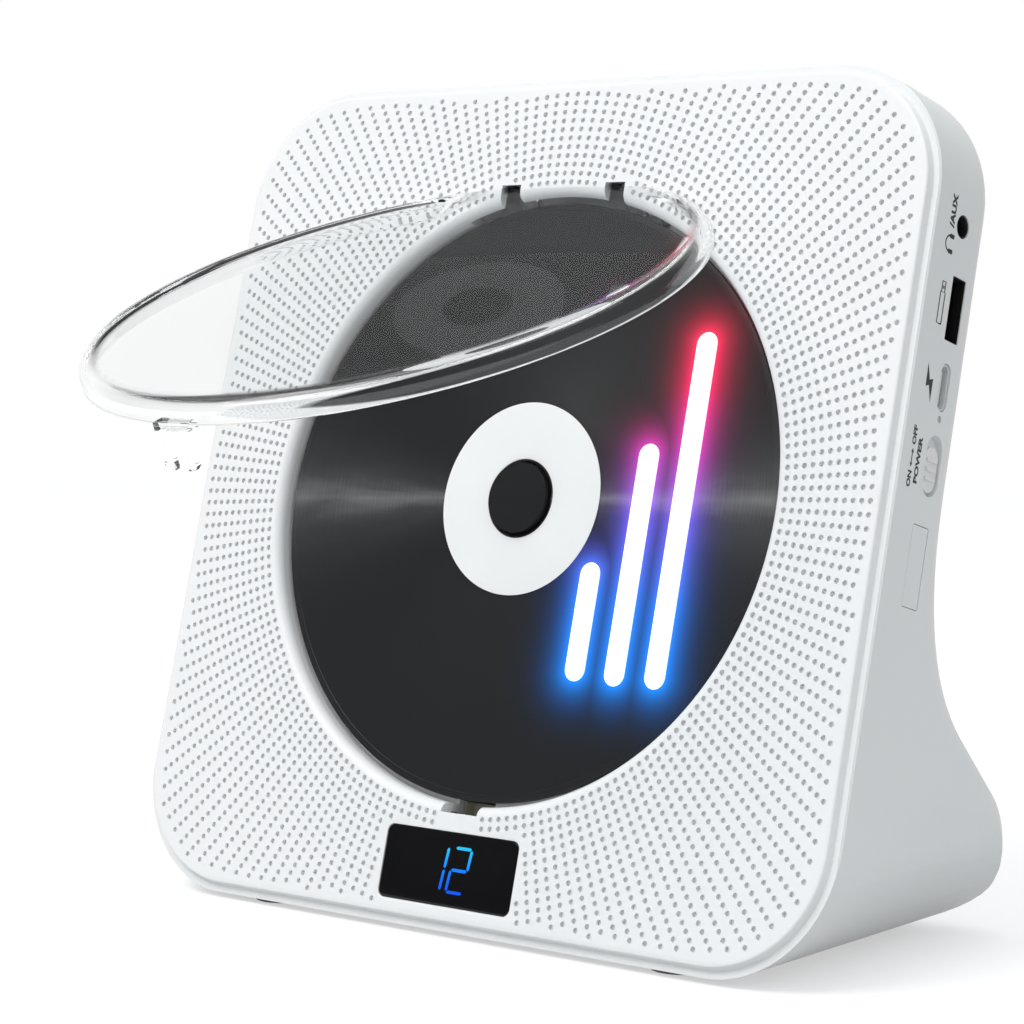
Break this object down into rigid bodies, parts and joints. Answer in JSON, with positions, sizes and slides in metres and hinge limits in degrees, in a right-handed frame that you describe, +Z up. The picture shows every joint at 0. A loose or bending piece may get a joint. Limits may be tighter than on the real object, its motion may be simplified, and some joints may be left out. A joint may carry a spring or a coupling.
{
  "type": "disc player",
  "caption": "Square portable disc player leaning back on a flared foot, with a round clear lid hinged open over a disc in a round well.",
  "frame": {"origin": "under the middle of the part, on the plane its rubber feet rest on", "axes": "+Z up, -Y towards the listener (the front panel faces -Y and leans back 15 degrees), +X to the listener's right"},
  "size_m": [0.171, 0.1443, 0.1664],
  "materials": {
    "white_shell": "white, smooth",
    "white_well": "white, smooth",
    "clear": "clear moulded plastic",
    "smoke": "black window",
    "black_plastic": "black moulded plastic",
    "grey_plastic": "grey moulded plastic",
    "ivory_plastic": "natural gear plastic",
    "green_board": "circuit board",
    "steel": "plain steel",
    "bright_metal": "plated shell",
    "brass_gear": "brass",
    "disc_face": "dark lacquered disc with a white middle",
    "black_rubber": "soft black rubber",
    "grey_rubber": "grey rubber feet",
    "cell_sleeve": "plain blue sleeve",
    "cone_paper": "dark paper cone",
    "magnet": "magnet and yoke",
    "lens": "coated lens",
    "light_pipe": "light pipe"
  },
  "bodies": {
    "case": {"front_panel": "white_shell", "rear_housing": "white_shell", "disc_well": "white_well", "display_window": "smoke", "display_module": "black_plastic", "display_board": "green_board", "ir_receiver": "black_plastic", "main_board": "green_board", "jack_socket": "black_plastic", "data_port_shell": "bright_metal", "data_port_tongue": "black_plastic", "charge_port_shell": "bright_metal", "charge_port_tongue": "black_plastic", "charge_light": "light_pipe", "switch_body": "black_plastic", "side_blank": "white_shell", "battery_cells": "cell_sleeve", "battery_cradle": "grey_plastic", "battery_door": "white_shell", "door_screws": "steel", "case_screws": "steel", "rubber_feet": "grey_rubber", "speaker_frame_left": "black_plastic", "speaker_frame_right": "black_plastic", "speaker_cone_left": "cone_paper", "speaker_cone_right": "cone_paper", "speaker_magnet_left": "magnet", "speaker_magnet_right": "magnet", "key_board": "green_board", "key_switches": "black_plastic", "mechanism_deck": "grey_plastic", "deck_dampers": "black_rubber", "deck_screws": "steel", "spindle_motor": "steel", "guide_rods": "steel", "rod_clips": "black_plastic", "sled_motor": "steel", "idler_pin": "steel", "hinge_bracket": "black_plastic", "hinge_pin": "steel", "lid_springs": "steel", "latch_housing": "black_plastic", "latch_spring": "steel"},
    "lid": {"lid": "clear"},
    "latch": {"latch_plunger": "ivory_plastic"},
    "spindle": {"spindle_hub": "black_plastic", "spindle_shaft": "steel", "disc": "disc_face"},
    "sled": {"pickup_sled": "black_plastic", "pickup_lens": "lens"},
    "idler": {"idler_gear": "ivory_plastic"},
    "pinion": {"motor_pinion": "brass_gear"},
    "slider": {"power_slider": "white_shell"},
    "key_mode": {"key_mode": "white_shell"},
    "key_back": {"key_back": "white_shell"},
    "key_play": {"key_play": "white_shell"},
    "key_forward": {"key_forward": "white_shell"},
    "key_stop": {"key_stop": "white_shell"}
  },
  "joints": [
    {"name": "lid_hinge", "type": "hinge", "parent": "case", "child": "lid", "pos_m": [0, 0.03999, 0.13712], "axis": [1, 0, 0], "range_deg": [0, 54.9], "stiffness_Nm_per_rad": 0.012, "springref_deg": -85.94},
    {"name": "latch_push", "type": "slide", "parent": "case", "child": "latch", "axis": [0, 0.9659, -0.2588], "range_m": [0, 0.0012], "stiffness_N_per_m": 120},
    {"name": "spindle_spin", "type": "hinge", "parent": "case", "child": "spindle", "pos_m": [0, 0.02315, 0.08314], "axis": [0, -0.9659, 0.2588], "continuous": true},
    {"name": "sled_slide", "type": "slide", "parent": "case", "child": "sled", "axis": [-1, 0, 0], "range_m": [0, 0.033]},
    {"name": "idler_spin", "type": "hinge", "parent": "case", "child": "idler", "pos_m": [-0.032, 0.02602, 0.05908], "axis": [0, -0.9659, 0.2588], "range_deg": [-1, 526.21]},
    {"name": "pinion_spin", "type": "hinge", "parent": "case", "child": "pinion", "pos_m": [-0.01841, 0.0254, 0.05676], "axis": [0, -0.9659, 0.2588], "range_deg": [-1892.76, 2]},
    {"name": "power_slide", "type": "slide", "parent": "case", "child": "slider", "axis": [0, 0.2588, 0.9659], "range_m": [0, 0.002]},
    {"name": "key_mode_press", "type": "slide", "parent": "case", "child": "key_mode", "axis": [0, -0.2588, -0.9659], "range_m": [0, 0.0006], "stiffness_N_per_m": 400},
    {"name": "key_back_press", "type": "slide", "parent": "case", "child": "key_back", "axis": [0, -0.2588, -0.9659], "range_m": [0, 0.0006], "stiffness_N_per_m": 400},
    {"name": "key_play_press", "type": "slide", "parent": "case", "child": "key_play", "axis": [0, -0.2588, -0.9659], "range_m": [0, 0.0006], "stiffness_N_per_m": 400},
    {"name": "key_forward_press", "type": "slide", "parent": "case", "child": "key_forward", "axis": [0, -0.2588, -0.9659], "range_m": [0, 0.0006], "stiffness_N_per_m": 400},
    {"name": "key_stop_press", "type": "slide", "parent": "case", "child": "key_stop", "axis": [0, -0.2588, -0.9659], "range_m": [0, 0.0006], "stiffness_N_per_m": 400}
  ],
  "couplings": [
    {"joint": "idler_spin", "follows": "sled_slide", "rad_per_m": 277.78},
    {"joint": "pinion_spin", "follows": "sled_slide", "rad_per_m": -1000}
  ]
}
